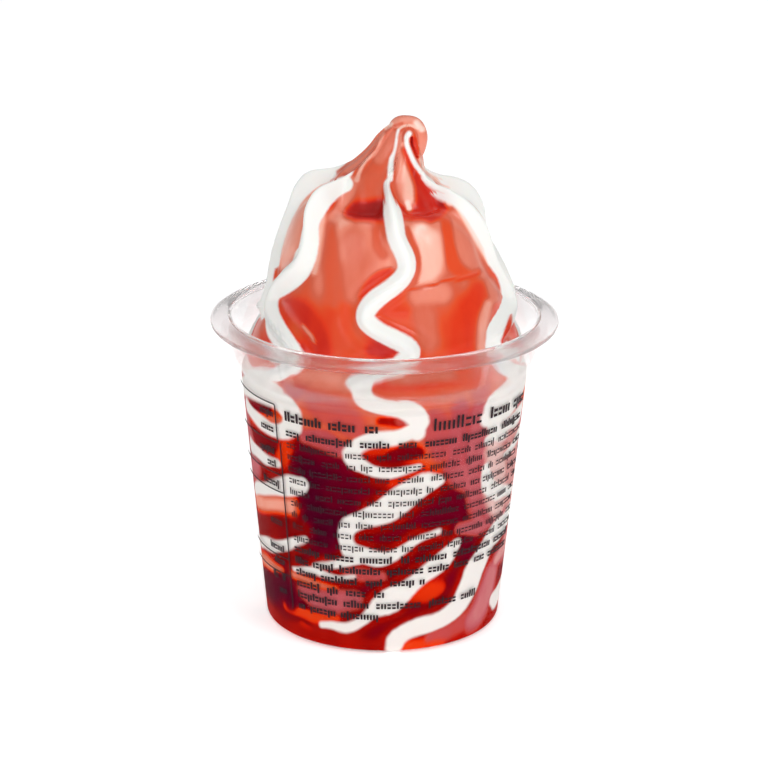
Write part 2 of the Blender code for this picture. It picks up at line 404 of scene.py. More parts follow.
swirl = {
    "columns": 380,
    "ringStep": 0.45,
    "tipStep": 0.2,
    "intoWall": 0.1,
    "creamHalfWidth": 1.7,
    "creamReach": 3.4,
    "ribHalfWidth": 1.45,
    "ribSpread": 0.12,
    "ribPlainRise": 1.5,
    "pathSteps": 8,
    "shoulderPlace": 11.0,
    "shoulderSpan": 2.6,
    "grooveDepth": 0.45,
    "groovePlace": 2.1,
    "tipNarrowing": 15.0,
    "tipFrom": 83.0,
    "plainAway": 20.0,  # distance from a crest that counts for points with no rib near them
    "frontTurn": (-0.55, -0.3),  # cosines of the angle from the front between which the painted front ends
    "reliefFrom": 60.0,
    "swingStart": 51.0,
    "swingFull": 54.0,
    # radius and height along a rib's crest, and along the lobe between two ribs
    "crest": [
        (27.3, 51), (27.2, 55), (26, 61.5), (24.8, 65.7), (24, 68.2), (23, 71.5), (21.8, 76.2),
        (20.9, 79.5), (19.7, 83), (18.5, 86), (16.6, 88.3), (14.2, 89.7), (11.4, 90.3), (9.1, 90.9),
        (7.2, 92.2), (6.1, 93.8), (5.2, 95.6), (4.4, 97.9), (2.9, 99.9), (0.7, 101),
    ],
    "lobe": [
        (27.3, 51), (26.6, 55.2), (24.6, 61.5), (23.4, 65.7), (22.6, 68.2), (21.6, 71.4), (20.3, 75.8),
        (19.4, 78.7), (18.3, 81.4), (17, 83.4), (15.5, 84.7), (14, 85.2), (12.7, 85.1), (11.7, 85.8),
        (10.6, 87.6), (8.1, 90.8), (5.5, 94.2), (4, 97.4), (2.6, 99.6), (0.7, 101),
    ],
    # height and sideways lean of the centre
    "lean": [
        (51, 0), (60, 0.3), (67, 0.9), (74, 0.3), (82, 0.5), (87, 0), (90.3, -0.6),
        (92.5, 0.6), (94.5, 1.5), (97, 2.5), (101, 4.2),
    ],
}
# heights at which a rib turns back, and how far round it has swung there, in radians
frontTurns = [
    (96.0, 0.03), (85.0, 0.02), (77.9, 0.12), (68.3, -0.27), (61.8, 0.12), (55.4, -0.30), (48.5, 0.22),
]
rightTurns = [
    (96.0, 0.0), (90.0, -0.05), (79.0, 0.1), (66.0, 0.33), (60.6, -0.14), (55.8, 0.12), (49.0, -0.2),
]
leftTurns = [
    (96.0, 0.0), (87.0, -0.03), (78.5, 0.05), (66.5, -0.38), (58.2, 0.24), (53.4, 0.0), (48.0, 0.15),
]
# each rib's place in degrees anticlockwise from the front, its turns, how much lower they come,
# and the share of its height that it keeps round the shoulder
ribs = [
    (4.0, frontTurns, 0.0, 1.0),
    (66.0, rightTurns, 0.0, 0.8),
    (109.0, frontTurns, 0.8, 0.7),
    (160.0, leftTurns, -0.6, 0.6),
    (207.0, frontTurns, -0.9, 0.75),
    (256.0, rightTurns, 0.7, 0.97),
    (306.0, leftTurns, 0.0, 1.0),
]
tail = {
    "sides": 110,
    "steps": 150,
    "nudge": 0.05,
    "frontTurn": (0.2, -0.2),
    "cream": -4.0,
    "tone": 0.34,
    # sideways, forward, height and radius along the curled tail
    "line": [
        (2.6, 0.2, 97.1, 2.3), (3, 0.2, 98.95, 2.5), (4.4, 0, 99.6, 2), (5.5, -0.2, 99.2, 1.9),
        (6.2, -0.5, 97.7, 1.8), (6.3, -0.8, 96, 1.5), (6.1, -1, 94.4, 1.1), (5.8, -1.1, 93.3, 0.6),
    ],
}


def ribSwing(rib, height):
    turns, lower = ribs[rib % len(ribs)][1:3]
    free = fade(swirl["swingStart"], swirl["swingFull"], height)
    return free * turning([(z - lower, swing) for z, swing in turns], height)


def ribAngle(rib):
    turn, index = divmod(rib, len(ribs))
    return math.radians(ribs[index][0] + 360.0 * turn)


def columnStops():
    # rib and share of the way to the next rib for each column of points
    stops = []
    for rib in range(len(ribs)):
        gap = ribAngle(rib + 1) - ribAngle(rib)
        count = round(swirl["columns"] * gap / math.tau)
        stops += [(rib, i / count) for i in range(count)]
    return stops


def pointOn(line, place):
    # point of a smooth curve through a line's points, at a place counted along them
    return [curveThrough(list(enumerate(values)), place) for values in zip(*line)]


def lobeLengths():
    lengths = [0.0]
    for low, high in zip(swirl["lobe"], swirl["lobe"][1:]):
        lengths.append(lengths[-1] + math.dist(low, high))
    return list(enumerate(lengths))


def crestPath(rib):
    # a rib's crest as rows of (swing in radians, length along the lobe profile)
    count = (len(swirl["crest"]) - 1) * swirl["pathSteps"]
    places = [step / swirl["pathSteps"] for step in range(count + 1)]
    lengths = lobeLengths()
    heights = [pointOn(swirl["crest"], place)[1] for place in places]
    return np.stack([ribSwing(rib, np.array(heights)), [curveThrough(lengths, place) for place in places]])


def swirlRing(place, stops, paths, lengths):
    # one ring of the open swirl: radius, height, angle, distance from the nearest crest, narrowing
    lobeR, lobeZ = pointOn(swirl["lobe"], place)
    crestR, crestZ = pointOn(swirl["crest"], place)
    rib, share = np.array([r for r, _ in stops]), np.array([s for _, s in stops])
    count = len(ribs)
    angles = np.array([ribAngle(i) for i in range(count + 1)])
    swings = np.array([float(ribSwing(i, crestZ)) for i in range(count + 1)])
    near = np.where(share < 0.5, rib, rib + 1)
    angle = angles[rib] + share * (angles[rib + 1] - angles[rib])
    turned = angle + swings[rib] + (swings[rib + 1] - swings[rib]) * fade(0.0, 1.0, share)
    aside = (turned - angles[near])[:, None]
    nearPaths = paths[near % count]
    length = curveThrough(lengths, place)
    off = np.hypot((aside - nearPaths[:, 0]) * lobeR, length - nearPaths[:, 1]).min(axis=1)
    rise = math.hypot(crestR - lobeR, crestZ - lobeZ)
    narrow = min(1.0, lobeR / swirl["tipNarrowing"])
    half = narrow * (swirl["ribHalfWidth"] + swirl["ribSpread"] * max(rise - swirl["ribPlainRise"], 0.0))
    kept = np.array([ribs[i % count][3] for i in range(count + 1)])[near]
    keep = 1 - (1 - kept) * math.exp(-(((place - swirl["shoulderPlace"]) / swirl["shoulderSpan"]) ** 2))
    crest = keep * np.exp(-((off / half) ** 2))
    deep = swirl["grooveDepth"] * narrow * min(1.0, rise)
    groove = deep * np.exp(-((off / half - swirl["groovePlace"]) ** 2))
    radius = lobeR + (crestR - lobeR) * crest - groove
    height = lobeZ + (crestZ - lobeZ) * crest
    return radius, height, turned, off, np.full(len(stops), narrow)


def fillWall(radius, height):
    # what lies against the wall reaches just into it, and lets go of it at the neck
    inside = outerRadius(height) - cup["wall"] + swirl["intoWall"]
    hold = 1 - fade(cup["neckHeight"] - 0.2, cup["neckHeight"] + 2.4, height)
    return radius + (inside - radius) * hold


runSteps = 3  # straight steps between two points of a run
farAway = 9.0  # mm outside every run


def runField(run, across, up):
    # how far inside a run of (across, up, half width) each point lies, all in mm
    dense = [pointOn(run, i / runSteps) for i in range(runSteps * (len(run) - 1) + 1)]
    field = np.full(across.shape, -farAway)
    for (ax, ay, aHalf), (bx, by, bHalf) in zip(dense, dense[1:]):
        dx, dy = across - ax, up - ay
        ex, ey = bx - ax, by - ay
        along = np.clip((dx * ex + dy * ey) / (ex * ex + ey * ey + 1e-9), 0.0, 1.0)
        half = aHalf + (bHalf - aHalf) * along
        field = np.maximum(field, half - np.hypot(dx - along * ex, dy - along * ey))
    return field


def wallField(run, degrees, heights):
    # the same for a run of (degrees, height, half width) on the wall, repeated half a turn on
    field = np.full(degrees.shape, -farAway)
    for turn in (0.0, 180.0):
        placed = [(degree + turn, height, half) for degree, height, half in run]
        middle = sum(p[0] for p in placed) / len(placed)
        across = (degrees - middle + 180.0) % 360.0 - 180.0 + middle
        placed = [(degree * wallScale, height, half) for degree, height, half in placed]
        field = np.maximum(field, runField(placed, across * wallScale, heights))
    return field


def dabWeight(run, field):
    # a dab of sauce fades out at its edge, a wide one more softly
    half = sum(p[2] for p in run) / len(run)
    return fade(-0.1 - 0.95 * half, 0.5 * half, field)


wallRadius = 26.0  # about the middle of the wall, in mm
wallScale = math.radians(1.0) * wallRadius  # mm round the wall for each degree
# White runs in the marbling against the wall: degrees from the front, height and half width in mm
whiteRuns = [
    [(8, 52, 1.6), (13.5, 50.2, 1.6), (14, 48, 1.6), (8, 46.3, 1.6), (-2, 45.6, 1.5), (-10, 44.2, 1.6),
     (-13, 41.6, 1.5), (-7, 39.4, 1.3), (3, 38.6, 1), (14, 39.6, 0.6)],
    [(24, 36.6, 1.1), (17, 35.8, 2.2), (9, 33.6, 2.6), (1, 30.8, 2.3), (-7, 29, 1.9), (-14, 27.4, 1.7),
     (-16.5, 25, 1.6), (-14, 22.2, 1.6), (-6, 20.8, 1.8), (2, 20.8, 1.5), (9, 22.4, 1), (16, 24.4, 0.7),
     (25, 25.6, 0.5)],
    [(-32, 17.3, 0.4), (-25, 18.2, 0.6), (-18, 19.3, 0.9), (-11, 20.4, 1.3)],
    [(34, 21.8, 1.4), (29, 19.8, 1.9), (20, 17, 1.9), (11, 14, 2.1), (4, 11.8, 2.5), (-4, 9.4, 1.5),
     (-10, 7.2, 1), (-18, 5.5, 0.9), (-30, 5.1, 0.7)],
    [(5.5, 1.2, 1.6), (8, 3.9, 1.8), (17, 5.6, 1.7), (29, 6.6, 1.9), (38, 8.4, 2.3), (44, 11.6, 2.8),
     (48, 15.4, 3), (57, 20.2, 2.4), (66, 21.6, 2.5), (80, 22.6, 2.2)],
    [(46, 47.2, 1.6), (53, 47.8, 3), (63, 49.3, 3.4), (75, 51.5, 3.4), (89, 53, 3)],
    [(47, 42.4, 0.8), (58, 43.6, 1.4), (78, 44.2, 1.8)],
    [(47.5, 36.8, 1), (50, 33.6, 1.6), (56, 30.8, 1.6), (66, 29.4, 1.2), (80, 27.6, 1)],
    [(62, 37.6, 0.5), (74, 38.8, 1.2), (90, 40.2, 1.6)],
    [(-84, 54, 2.4), (-66, 52.4, 2), (-54, 51.6, 1.6), (-45, 50.4, 1.8), (-40.5, 48, 1.8), (-42, 45.2, 1.7),
     (-49, 43.8, 1.4), (-60, 44.2, 1.5), (-76, 45.2, 1.6)],
    [(-50, 36.9, 0.8), (-60, 36.8, 1.1), (-76, 37.2, 1.6)],
    [(-78, 27.6, 1.1), (-68, 29.4, 1.1), (-58, 30.8, 1.1), (-49, 32.2, 1.5), (-42, 33.6, 2.1),
     (-37.4, 33.9, 1.9)],
    [(-80, 16.4, 1.2), (-68, 17.6, 1.2), (-58, 18.8, 1.2), (-50, 19.8, 1.1), (-44, 21.2, 0.9),
     (-36, 23, 0.5)],
    [(-45, 15.4, 0.4), (-38, 15.9, 0.7), (-30, 16.1, 0.6), (-20, 15.9, 0.4), (-13, 16.4, 0.3)],
    [(67, 6.4, 1.4), (72, 6, 2.2), (82, 6.4, 2.2)],
]
# Thinner and thicker sauce: tone from 0, a pale film, over 0.8, orange red, and 1, dark red, to 2, maroon
toneRuns = [
    (0.24, [(-76, 25.2, 1.8), (-62, 26.6, 2), (-52, 27.8, 2), (-44, 28.6, 1.9), (-38, 29.4, 1.4)]),
    (0.3, [(-80, 12.6, 1.4), (-66, 13.6, 1.2), (-54, 13.8, 0.5)]),
    (0.36, [(-46, 14, 0.6), (-34, 13.6, 0.7), (-22, 13.4, 0.5)]),
    (0.72, [(-54, 6.4, 0.7), (-44, 6.4, 1), (-32, 6.4, 0.9), (-22, 7, 0.4)]),
    (0.2, [(-42, 3.4, 0.8), (-38, 3, 0.9)]),
    (0.97, [(-80, 2, 2.6), (-50, 1.6, 2.6), (-20, 1.8, 2.2), (2, 1.6, 1.6)]),
    (0.46, [(16, 48.6, 1.4), (26, 47, 3.4), (36, 47, 3)]),
    (0.5, [(14, 43.6, 1.8), (22, 42.6, 3), (30, 41.6, 4), (40, 41, 3.6), (44, 38, 2.6)]),
    (1, [(30, 38, 2), (38, 36, 2.6), (44, 33, 2.4), (42, 29, 2)]),
    (0.78, [(-42, 41.4, 1.4), (-46, 39.4, 1.8), (-48, 37.6, 1)]),
    (1.1, [(-76, 47, 0.8), (-64, 47.2, 1.2), (-53, 48, 1)]),
    (0.72, [(-49, 47.9, 0.7), (-45.6, 47.8, 0.5)]),
    (1.06, [(-74, 40.2, 0.9), (-60, 40.4, 1.2), (-52, 40.6, 0.8)]),
    (0.84, [(-6, 56.4, 0.9), (6, 56.9, 1.3), (22, 56.9, 1), (40, 56.7, 0.6), (58, 56.2, 0.4)]),
    (1, [(-1, 49.4, 0.7), (6, 49.2, 0.8), (11, 49, 0.5)]),
    (0.84, [(-5, 43.4, 0.6), (0, 43.4, 0.6)]),
    (1.1, [(4, 42.4, 0.8), (9, 42.8, 1.2), (14, 43, 0.9)]),
    (0.84, [(4, 36.6, 0.6), (12, 37.6, 0.7), (20, 38.2, 0.5)]),
    (1, [(54, 39.4, 0.6), (58, 40.2, 0.9), (64, 40.6, 0.4)]),
    (0.72, [(53, 35, 0.9), (58, 34.4, 0.9), (66, 33.2, 0.5)]),
    (0.81, [(14, 12, 1), (21, 12.6, 1.9), (27, 13.4, 1.3)]),
    (0.95, [(48, 4, 2.4), (58, 7, 3.6), (64, 13, 3), (74, 15, 1.6)]),
    (0.74, [(11, 1.2, 1.2), (20, 1.6, 1.2), (30, 1.8, 1.4)]),
    (0.96, [(38, 2.2, 2), (50, 2.6, 2.2), (60, 2.6, 2.2), (80, 2, 2)]),
    (1.2, [(-34, 42, 2), (-24, 42, 2.6), (-20, 39, 2.4)]),
    (1.7, [(-32, 37, 2.4), (-27, 34, 4), (-26, 29, 4.6), (-28, 25, 2.6)]),
    (1.4, [(-20, 33, 3), (-18, 36, 2)]),
    (1.02, [(-78, 20.4, 1.6), (-62, 22.6, 2), (-46, 24.2, 1.8), (-36, 25, 1.6)]),
    (1.3, [(20, 28.6, 1.2), (32, 29.4, 1.8), (42, 30.4, 1.4)]),
    (1.24, [(38, 22, 1.6), (41, 19.2, 1.2)]),
    (1.56, [(-78, 8.4, 2.2), (-64, 8.6, 2.4), (-54, 10.6, 1.8), (-50, 8.4, 1.4)]),
    (1.04, [(-42, 11.4, 1.2), (-28, 10.4, 2.2), (-14, 11.4, 1.6)]),
]
# Cream stirred into the sauce, which turns dark red to dusty pink: the share of cream
stirredRuns = [
    (0.4, [(-40, 11.4, 1.2), (-28, 10.2, 2.4), (-14, 11.6, 1.8)]),
    (0.3, [(-16, 17.2, 1), (-8, 17, 1.2), (0, 16.8, 0.8)]),
    (0.34, [(-34, 44.6, 1.4), (-24, 44.4, 2), (-17, 43.4, 1.6)]),
    (0.3, [(21, 49, 2.4), (22, 45.5, 2.6), (25, 42, 2.2)]),
    (0.36, [(32, 50, 2.2), (31, 46, 2.4), (32, 42, 2.6), (31, 39, 2.4)]),
    (0.44, [(41, 49, 2), (42, 44, 2.6), (41, 39.5, 2.4)]),
    (0.26, [(-32, 53, 1.6), (-24, 51, 3.2), (-15, 49.5, 3), (-10, 47, 1.8)]),
    (0.28, [(42, 52.4, 2), (46, 55, 1.6), (40, 56, 1)]),
    (0.28, [(24, 3, 1.2), (36, 3.6, 1.6), (46, 5, 2)]),
    (0.42, [(34, 37, 2.4), (40, 35, 2.6), (44, 31, 1.8), (46, 27, 1.6)]),
    (0.44, [(36, 25.4, 1), (46, 24.8, 1.8), (58, 24.4, 1.2)]),
    (0.74, [(49, 44, 1.4), (54, 38, 3.6), (58, 31, 4.4), (62, 27, 3.4)]),
    (0.62, [(66, 46, 3), (72, 36, 6), (76, 28, 5)]),
    (0.52, [(48, 4.4, 1.8), (56, 6.6, 3), (62, 12, 2.6)]),
    (0.6, [(66, 15, 1.4), (78, 16.4, 2.6)]),
    (0.24, [(6, 49.3, 0.8), (12, 49, 0.7)]),
    (0.34, [(-46, 55.6, 2.2), (-38, 53.6, 1.8), (-34, 56.6, 1.4)]),
    (0.5, [(-80, 31.6, 2), (-72, 33.8, 2.4), (-80, 41.2, 2)]),
    (0.4, [(-82, 48, 2.4), (-76, 45, 2.4)]),
]
# What the front of the open swirl shows, in mm to the right of the aim point and above it as the camera
# sees them, with half widths: cream first, then sauce with its tone, with a few pale dabs of painted
# highlight and a dark dab of painted shade in the slit
creamDabs = {
    "ridge": [
        (4.9, 48.8, 0.5), (4.4, 48, 0.4), (4.5, 46.6, 0.4), (5.1, 45, 0.4), (5.9, 43.3, 0.4),
        (7.1, 41.5, 0.4), (8.6, 40, 0.4), (10.5, 38.6, 0.4), (12.5, 38, 0.3),
    ],
    "centreThread": [
        (2.8, 49.5, 0.18), (2.5, 48.4, 0.18), (2.3, 46.6, 0.2), (2, 45.2, 0.23), (1.5, 43.9, 0.4),
        (1.3, 42.1, 0.5), (1.2, 40, 0.5),
    ],
    "leftShoulder": [
        (-7.6, 39, 1.5), (-9.9, 37.8, 1.7), (-12.1, 35.5, 1.7), (-14.4, 31.6, 1.8), (-14.7, 28.1, 2),
        (-15.4, 24.6, 2.1), (-16.8, 21.5, 1.9), (-19.3, 19.5, 1.9), (-21.8, 17.7, 1.7), (-22.5, 15, 1.8),
        (-21.5, 11.5, 2), (-18.7, 7, 2.1),
    ],
    "backLeft": [
        (-10.5, 41.1, 1.2), (-14, 39.6, 1.6), (-17, 37.2, 1.8), (-19.4, 33, 1.7), (-20.9, 28.1, 1.4),
        (-21.6, 23.8, 1.3),
    ],
    "rightBand": [
        (13.3, 37.8, 0.6), (15.4, 35.1, 1), (17.9, 31.6, 1.2), (20.3, 27.5, 1.25), (22.2, 23.8, 1.2),
        (23.6, 20.3, 1.2), (24, 17, 1.2), (22.7, 14, 1.7), (21.6, 11, 1.5), (21, 6.6, 1.3),
    ],
    "centreUnderRim": [
        (3.5, 2.5, 0.6), (0.2, 2.4, 1.1), (-3.2, 1.5, 1.7), (-4.3, -0.8, 1.8), (-3.9, -2.8, 1.8),
        (-1.1, -4.3, 1.5), (3.2, -5.1, 1.5), (6.2, -7, 1.6), (6.4, -9.4, 1.6),
    ],
    "leftUnderRim": [
        (-19.1, 6.2, 1.6), (-18.4, 3.9, 1.3), (-20.7, 1.8, 1.3), (-24.6, 2, 1.4), (-26.7, -0.4, 1.4),
        (-23.8, -2.1, 1.5), (-19.9, -3.5, 1.7), (-17.7, -6, 1.5), (-17.4, -8.8, 1.3),
    ],
    "rightUnderRim": [
        (21.5, 6.2, 1.4), (23.2, 3.5, 1.5), (26.1, 2, 1.5), (24.6, -0.8, 1.5), (21.8, -3.7, 1.7),
        (21.1, -6.6, 1.6), (22.4, -9.6, 1.6),
    ],
    "farRight": [
        (12.3, 39.8, 0.8), (15.2, 37.8, 1), (17.9, 34.5, 1), (19.9, 30.8, 1), (21.1, 28.1, 0.8),
    ],
}
slit = [(5.4, 48, 0.2), (5.5, 46.8, 0.21), (5.9, 45.6, 0.2), (6.5, 44.3, 0.16)]
fold = [(4.9, 18.6, 0.12), (9, 19.1, 0.12), (11.9, 20.1, 0.14), (15.2, 20.5, 0.23), (18.3, 21.4, 0.23)]
sauceAndPaintedLightDabs = [
    (0.24, [(-14, 37.6, 1.2), (-16.9, 32.8, 1.4), (-18.6, 28, 1.4), (-19.4, 23.5, 1.2)]),
    (0.3, [(-6.6, 39.4, 1), (-7.4, 36.7, 1), (-8.4, 34.5, 1), (-9.6, 32.6, 1)]),
    (0.52, [(-1.4, 43.7, 1.2), (-2, 40.2, 1.6), (-2.3, 37.4, 1.6)]),
    (0.18, [(-0.2, 48.8, 0.3), (-0.8, 47, 0.29), (-1.4, 45.4, 0.3), (-2.7, 44.3, 0.25), (-3.9, 43.1, 0.3),
            (-4.7, 41.5, 0.3), (-5.3, 39.8, 0.4)]),
    (0.55, [(-1.4, 47, 0.16), (-2.7, 45.4, 0.18), (-4.3, 43.7, 0.18), (-6.2, 41.5, 0.23)]),
    (0.35, [(-0.2, 49.9, 0.4), (-2, 47, 0.5), (-5.1, 43.7, 0.7), (-7, 41.7, 0.6)]),
    (0.18, [(-12, 33.1, 0.5), (-12.2, 29.6, 0.6), (-12.6, 26.1, 0.5), (-13.6, 21.8, 0.5)]),
    (0.22, [(-7.6, 31.2, 1.2), (-8.6, 29.6, 1.2)]),
    (0.44, [(-6.2, 28.1, 2), (-5.5, 24.6, 1.8)]),
    (0.42, [(-6.6, 21.3, 2), (-7.4, 16.8, 2)]),
    (0.54, [(-10.4, 30.5, 0.7), (-10.2, 27, 1.2), (-10, 22, 1.6), (-9.6, 17, 1.8)]),
    (0.52, [(-1.2, 30.4, 0.8), (-1.2, 27.1, 0.8), (-0.2, 25.2, 0.8)]),
    (0.96, [(-6.6, 33.3, 0.7), (-4.3, 33.7, 1.5), (-0.8, 34, 1.9)]),
    (0.8, [(1.2, 22, 0.5), (-0.6, 21.1, 0.9), (-2.7, 19.3, 0.9), (-4.3, 17.2, 0.4)]),
    (0.84, [(-18.9, 15.8, 0.8), (-16.4, 14.4, 1.8), (-14.4, 12.1, 1.8), (-12.9, 9, 1.8), (-12.1, 6.2, 1.8)]),
    (0.66, [(-7.6, 14.4, 1.2), (-7.8, 10.5, 1.6), (-6.6, 7, 1.6)]),
    (0.88, [(-2.3, 6.6, 1), (0, 6.8, 1.6), (2.1, 6.6, 0.8)]),
    (0.74, [(-0.4, 14, 0.5), (1.4, 14.2, 1.2), (3.7, 14, 1)]),
    # painted highlight: pale specks along a wrinkle low on the left lobe
    (0.3, [(-15.8, 11.3, 0.23), (-15, 10.3, 0.3), (-14.2, 9.4, 0.27), (-13.7, 8.4, 0.23)]),
    # thin sauce and painted highlight down the cone's front, paler towards its foot
    (0.26, [(3.5, 48.4, 0.4), (3.4, 45.6, 0.8), (3.7, 43.1, 1.2), (4.5, 39.8, 1.6), (4.9, 36.7, 1.5)]),
    (0.14, [(4.3, 42.1, 0.6), (4.9, 38.8, 0.8), (4.9, 36.3, 0.8)]),
    (0.88, [(4, 45.6, 0.2), (4.9, 43.1, 0.27), (5.9, 41.1, 0.5), (7.2, 38.6, 1), (8.2, 35.9, 1.8),
            (8.6, 33.5, 1.8)]),
    (0.8, [(4.1, 32.8, 0.6), (5.5, 33, 0.8)]),
    (0.85, [(7, 33.1, 1.2), (10.5, 33.3, 1)]),
    # painted highlight at the foot of the cone's front
    (0.02, [(4.6, 35.3, 0.4), (4.9, 34.3, 0.5)]),
    (0.1, [(12.1, 37.2, 0.6), (12.9, 35.5, 0.8)]),
    (0.38, [(13.8, 33, 1), (15.6, 28.5, 1.4), (16.8, 24.6, 1.4)]),
    (0.64, [(12.1, 31.6, 0.8), (12.7, 27.1, 1), (13.8, 23, 1.2), (16.8, 21.1, 0.7), (18.5, 22, 0.29)]),
    # thin sauce and painted highlight on the plateau below the crease, on the right
    (0.04, [(7.2, 29.8, 1.4), (8.6, 26.9, 1.4), (8.8, 23.8, 1.4)]),
    (0.14, [(9, 28.1, 1.8), (9.2, 22.6, 1.8), (7, 20.1, 0.6)]),
    (0.54, [(4.5, 30.4, 0.29), (5.9, 26.9, 0.5), (6.6, 23.4, 0.5), (5.9, 19.7, 0.4)]),
    (0.32, [(6.6, 17, 1.2), (11.3, 17.7, 1.6)]),
    (0.45, [(8, 12.9, 1.8), (8.6, 8.6, 2)]),
    (0.78, [(18.3, 18.5, 1.2), (17.2, 15.8, 1.8), (15.4, 12.5, 1.8), (15.2, 7.6, 2.1)]),
    (0.38, [(20.9, 19.7, 0.8), (21.6, 16.8, 0.8)]),
    (0.72, fold),
    (0.28, [(1.8, 50.9, 0.7), (3.9, 51.7, 0.6), (6, 51.3, 0.7)]),
    (0.1, [(0.4, 49.9, 0.3), (1.4, 50.7, 0.3)]),
    (0.46, [(2, 50.3, 0.2), (3.5, 50.8, 0.2)]),
    (0.4, [(1.4, 48.8, 0.8), (0.6, 46.4, 1), (-0.8, 44.1, 1)]),
    (0.12, [(2.9, 49.7, 0.18), (3.9, 50.3, 0.18), (5.3, 50.4, 0.18), (6.6, 49.9, 0.2)]),
    (0.5, [(3.8, 47.4, 0.16), (3.8, 48.8, 0.16), (4.6, 49.6, 0.16), (5.7, 49.5, 0.16), (6.4, 48.6, 0.18),
            (6.6, 47, 0.2)]),
    # painted highlight on the top of the curled tail's right limb
    (0.06, [(6.4, 50.9, 0.5), (7.4, 49.7, 0.5)]),
    (0.32, [(7.6, 48.2, 0.6), (7.6, 46, 0.6), (7, 44.3, 0.4)]),
    # painted shade: the darkest tone in the slit between the tail and the ridge, and beside it
    (1, slit),
    (0.82, [(6, 47.8, 0.25), (6.3, 46.2, 0.27), (6.6, 45, 0.2)]),
    (0.04, [(-12.4, 40.4, 1), (-15.2, 38.6, 1.3), (-17.6, 35.6, 1.3), (-19.2, 32, 1.2), (-20.2, 28.4, 1)]),
    (0.22, [(-13.6, 38, 0.8), (-16.2, 34.6, 0.9), (-17.8, 30.2, 0.9), (-18.7, 25.8, 0.8)]),
    (0.02, [(14.4, 34.9, 0.5), (16.5, 31.4, 0.6), (18.8, 27.3, 0.6), (20.8, 23.6, 0.5)]),
    (0.01, [(9.6, 40.6, 0.5), (12.3, 39.2, 0.8), (15.2, 37.4, 1.2), (17.9, 34.3, 1.4), (19.9, 30.6, 1.2)]),
    (0.24, [(20.4, 15.6, 0.7), (19.4, 12.4, 0.8), (19, 7, 0.8)]),
    (0.42, [(1.4, 1.6, 1), (7.6, 1.2, 1.4), (12.6, 1.6, 1.2)]),
    (0.28, [(-14.8, 1.4, 1.6), (-7, 0.2, 1.7)]),
    (0.78, [(-1.2, -0.2, 0.6), (2.1, -1.4, 0.7), (7, -1, 0.8), (10.9, -0.4, 0.6), (18.7, 0.4, 0.4)]),
    (0.34, [(-19, -0.6, 1), (-12.5, -1.4, 1.4)]),
    (0.12, [(7.2, 43.7, 0.27), (7.8, 42.3, 0.4), (9.4, 41, 0.4), (11.9, 39.8, 0.4)]),
]
# where the sauce lies over a rib, by the same measure
bareRuns = [[(24.8, 13.4, 0.3), (24.3, 11.2, 0.6), (23.2, 8.2, 0.5)]]
# how far some of the dabs stand out or sink in, in mm
reliefs = [
    (0.35, creamDabs["ridge"]),
    (0.12, creamDabs["centreThread"]),
    (-0.8, slit),
    (-0.18, fold),
    (0.14, [(-0.2, 48.8, 0.3), (-1.4, 45.4, 0.3), (-2.7, 44.3, 0.25), (-4.7, 41.5, 0.3), (-5.3, 39.8, 0.4)]),
]


def iceCreamMaterial(name, gloss):
    made, shader, wire = newMaterial(name, {
        "IOR": 1.33,
        "Specular IOR Level": 0.5 * gloss,
        "Coat Roughness": 0.16,
        "Subsurface Weight": 0.12,
        "Subsurface Radius": (1.0, 0.45, 0.3),
        "Subsurface Scale": 0.0012,
    })
    white, tone, inCup = wire.painted("white"), wire.painted("tone"), wire.painted("inCup")
    coords = wire.make("ShaderNodeTexCoord", output=3)
    fine = wire.make("ShaderNodeTexNoise", sockets={"Vector": coords, "Scale": 900.0, "Detail": 4.0})
    streaks = wire.make("ShaderNodeMapping", sockets={"Vector": coords, "Scale": (1.0, 1.0, 0.3)})
    broad = wire.make("ShaderNodeTexNoise", sockets={"Vector": streaks, "Scale": 260.0, "Detail": 3.0})
    depth = tone + (broad - 0.5) * 0.14
    # the sauce's colour by tone; its palest tones also make the painted highlights and its dark red the
    # painted shade in the slit
    sauce = (0.5 * depth).tint([
        (0.0, linear(250, 226, 214)),
        (0.07, linear(250, 188, 168)),
        (0.15, linear(236, 138, 114)),
        (0.24, linear(216, 96, 68)),
        (0.31, linear(228, 78, 34)),
        (0.39, linear(228, 52, 8)),
        (0.45, linear(200, 20, 4)),
        (0.51, linear(136, 3, 4)),
        (0.6, linear(118, 0, 26)),
        (0.75, linear(90, 0, 26)),
        (1.0, linear(66, 0, 30)),
    ])
    cream = inCup.mix((*linear(247, 248, 244), 1.0), (*linear(239, 234, 229), 1.0))
    softness = 1.0 if gloss > 0 else 1.6  # the plastic blurs the edges of the cream behind it
    edge = (white + (fine - 0.5) * 0.2).step(-0.32 * softness, 0.24 * softness)
    stirred = wire.painted("stirred") + (broad - 0.5) * 0.12
    rose = stirred.tint([
        (0.2, linear(204, 74, 62)),
        (0.35, linear(188, 78, 84)),
        (0.5, linear(198, 104, 110)),
        (0.65, linear(222, 160, 154)),
        (0.8, linear(236, 206, 200)),
        (1.0, linear(244, 234, 230)),
    ])
    colour = edge.mix(stirred.step(0.08, 0.32).mix(sauce, rose), cream)
    plug(shader, Base_Color=colour)
    thick = tone.step(0.86, 1.0)
    plug(shader, Roughness=0.3 + 0.2 * edge + 0.3 * thick)
    if gloss > 0:
        plug(shader, Coat_Weight=(0.22 - 0.2 * edge) * (1 - thick))
    bump = wire.make("ShaderNodeBump", sockets={"Strength": 0.12, "Distance": 0.0002, "Height": fine})
    plug(shader, Normal=bump)
    return made


